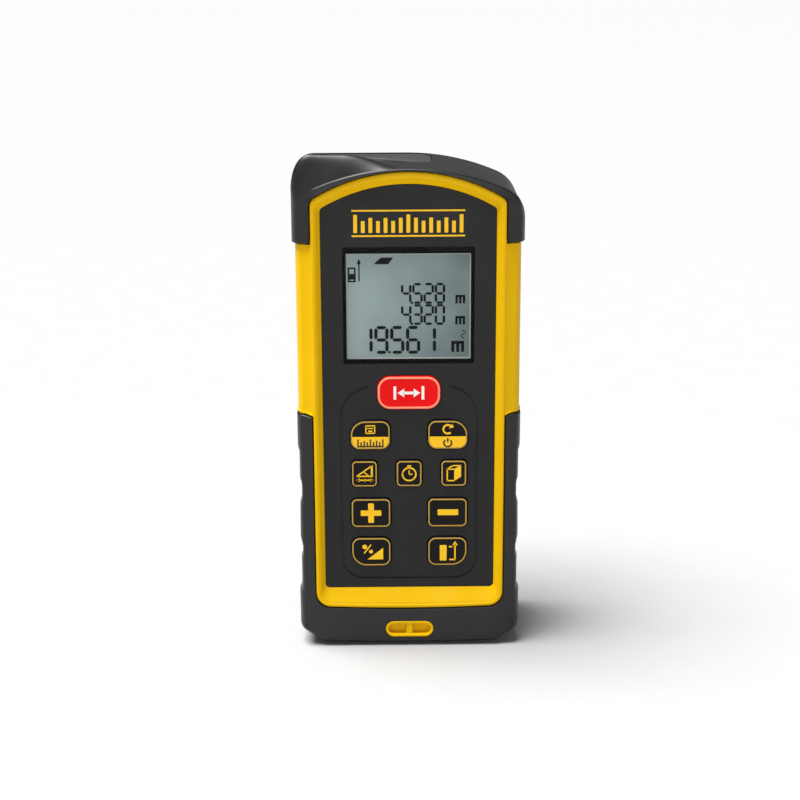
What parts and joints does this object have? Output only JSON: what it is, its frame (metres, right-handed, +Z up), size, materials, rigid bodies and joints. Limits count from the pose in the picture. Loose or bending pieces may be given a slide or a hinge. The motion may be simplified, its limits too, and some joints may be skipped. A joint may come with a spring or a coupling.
{
  "type": "laser distance meter",
  "caption": "Handheld laser distance meter: yellow case in black rubber boots, recessed keypad and display, rear battery door and fold-out end bracket.",
  "frame": {"origin": "centre of the end face that the meter stands on", "axes": "+X across the width, keys and display face -Y, +Z up towards the laser and receiver end"},
  "size_m": [0.0582, 0.0322, 0.128],
  "materials": {
    "yellow_shell": "satin moulded",
    "boot_rubber": "soft-touch moulded",
    "seal_rubber": "matt",
    "face_black": "satin moulded",
    "clear_window": "polished",
    "lcd_glass": "satin",
    "light_guide": "satin",
    "silicone": "matt",
    "contact_metal": "plated",
    "circuit_board": "solder mask",
    "chip_black": "matt",
    "ribbon_film": "film",
    "chassis_black": "fine matt",
    "brass_part": "turned",
    "lens_glass": "coated",
    "cell_jacket": "shrink film",
    "door_black": "fine matt",
    "steel_part": "plated",
    "label_film": "satin film",
    "key_red": "satin moulded",
    "key_black": "satin moulded"
  },
  "bodies": {
    "case": {"front_housing": "yellow_shell", "rear_housing": "yellow_shell", "housing_seal": "seal_rubber", "upper_boot": "boot_rubber", "lower_boot": "boot_rubber", "face_plate": "face_black", "display_window": "clear_window", "display_frame": "face_black", "lcd_panel": "lcd_glass", "backlight": "light_guide", "key_mat": "silicone", "dome_switches": "contact_metal", "main_board": "circuit_board", "processor": "chip_black", "buzzer": "chip_black", "tilt_sensor": "chip_black", "shield_can": "contact_metal", "display_ribbon": "ribbon_film", "optics_chassis": "chassis_black", "laser_barrel": "brass_part", "laser_diode": "brass_part", "collimator_lens": "lens_glass", "receiver_lens": "lens_glass", "lens_ring": "chassis_black", "receiver_sensor": "contact_metal", "receiver_board": "circuit_board", "optics_ribbon": "ribbon_film", "exit_window": "lens_glass", "window_gasket": "seal_rubber", "battery_tray": "chassis_black", "left_cell": "cell_jacket", "right_cell": "cell_jacket", "cell_springs": "contact_metal", "cell_contacts": "contact_metal", "contact_bridge": "contact_metal", "bracket_pin": "steel_part", "detent_spring": "contact_metal", "lanyard_anchor": "yellow_shell", "tripod_insert": "brass_part", "case_screws": "steel_part", "board_screws": "steel_part", "optics_screws": "steel_part", "rating_plate": "label_film", "door_gasket": "seal_rubber"},
    "battery_door": {"battery_door": "door_black"},
    "end_bracket": {"end_bracket": "door_black"},
    "measure_key": {"measure_key": "key_red"},
    "units_key": {"units_key": "key_black"},
    "clear_key": {"clear_key": "key_black"},
    "triangle_key": {"triangle_key": "key_black"},
    "timer_key": {"timer_key": "key_black"},
    "volume_key": {"volume_key": "key_black"},
    "plus_key": {"plus_key": "key_black"},
    "minus_key": {"minus_key": "key_black"},
    "slope_key": {"slope_key": "key_black"},
    "reference_key": {"reference_key": "key_black"}
  },
  "joints": [
    {"name": "door_hinge", "type": "hinge", "parent": "case", "child": "battery_door", "pos_m": [0, 0.0146, 0.029], "axis": [-1, 0, 0], "range_deg": [0, 100]},
    {"name": "bracket_hinge", "type": "hinge", "parent": "case", "child": "end_bracket", "pos_m": [0, 0.0125, 0.003], "axis": [-1, 0, 0], "range_deg": [0, 180]},
    {"name": "measure_key_press", "type": "slide", "parent": "case", "child": "measure_key", "axis": [0, 1, 0], "range_m": [0, 0.0005], "stiffness_N_per_m": 400},
    {"name": "units_key_press", "type": "slide", "parent": "case", "child": "units_key", "axis": [0, 1, 0], "range_m": [0, 0.0005], "stiffness_N_per_m": 400},
    {"name": "clear_key_press", "type": "slide", "parent": "case", "child": "clear_key", "axis": [0, 1, 0], "range_m": [0, 0.0005], "stiffness_N_per_m": 400},
    {"name": "triangle_key_press", "type": "slide", "parent": "case", "child": "triangle_key", "axis": [0, 1, 0], "range_m": [0, 0.0005], "stiffness_N_per_m": 400},
    {"name": "timer_key_press", "type": "slide", "parent": "case", "child": "timer_key", "axis": [0, 1, 0], "range_m": [0, 0.0005], "stiffness_N_per_m": 400},
    {"name": "volume_key_press", "type": "slide", "parent": "case", "child": "volume_key", "axis": [0, 1, 0], "range_m": [0, 0.0005], "stiffness_N_per_m": 400},
    {"name": "plus_key_press", "type": "slide", "parent": "case", "child": "plus_key", "axis": [0, 1, 0], "range_m": [0, 0.0005], "stiffness_N_per_m": 400},
    {"name": "minus_key_press", "type": "slide", "parent": "case", "child": "minus_key", "axis": [0, 1, 0], "range_m": [0, 0.0005], "stiffness_N_per_m": 400},
    {"name": "slope_key_press", "type": "slide", "parent": "case", "child": "slope_key", "axis": [0, 1, 0], "range_m": [0, 0.0005], "stiffness_N_per_m": 400},
    {"name": "reference_key_press", "type": "slide", "parent": "case", "child": "reference_key", "axis": [0, 1, 0], "range_m": [0, 0.0005], "stiffness_N_per_m": 400}
  ]
}
